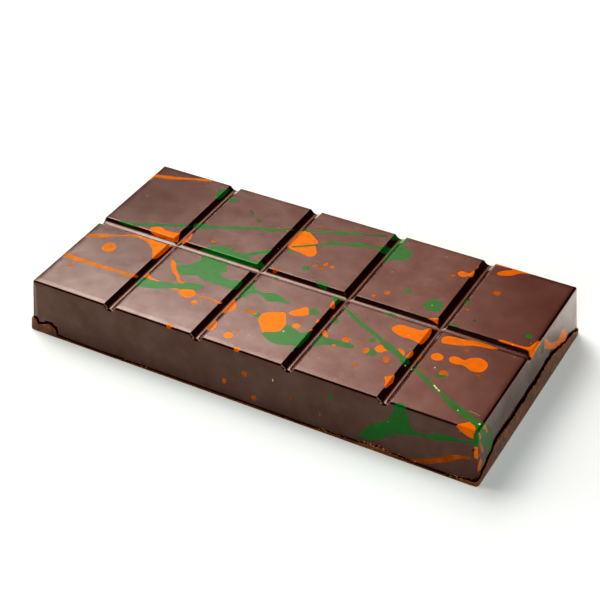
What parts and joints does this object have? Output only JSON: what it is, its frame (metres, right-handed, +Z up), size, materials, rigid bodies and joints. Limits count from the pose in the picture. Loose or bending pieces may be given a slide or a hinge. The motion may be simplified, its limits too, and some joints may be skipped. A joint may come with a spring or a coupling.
{
  "type": "filled chocolate bar",
  "caption": "Thick moulded filled chocolate bar of square segments with leaning walls, V-shaped break lines, a crept film at its foot and a flat back to rest on.",
  "frame": {"origin": "middle of the bar's flat back, where it rests", "axes": "+X along the bar, +Z up out of the moulded face, -Y towards the long side that the picture shows"},
  "size_m": [0.1496, 0.077, 0.0181],
  "materials": {
    "chocolate": "dark milk chocolate from a polished mould, satin sheen; orange and green coloured cocoa butter flicked into the mould lies flush in its top and walls; plastic stands in for chocolate"
  },
  "bodies": {
    "root": {"chocolate_bar": "chocolate"}
  },
  "joints": []
}
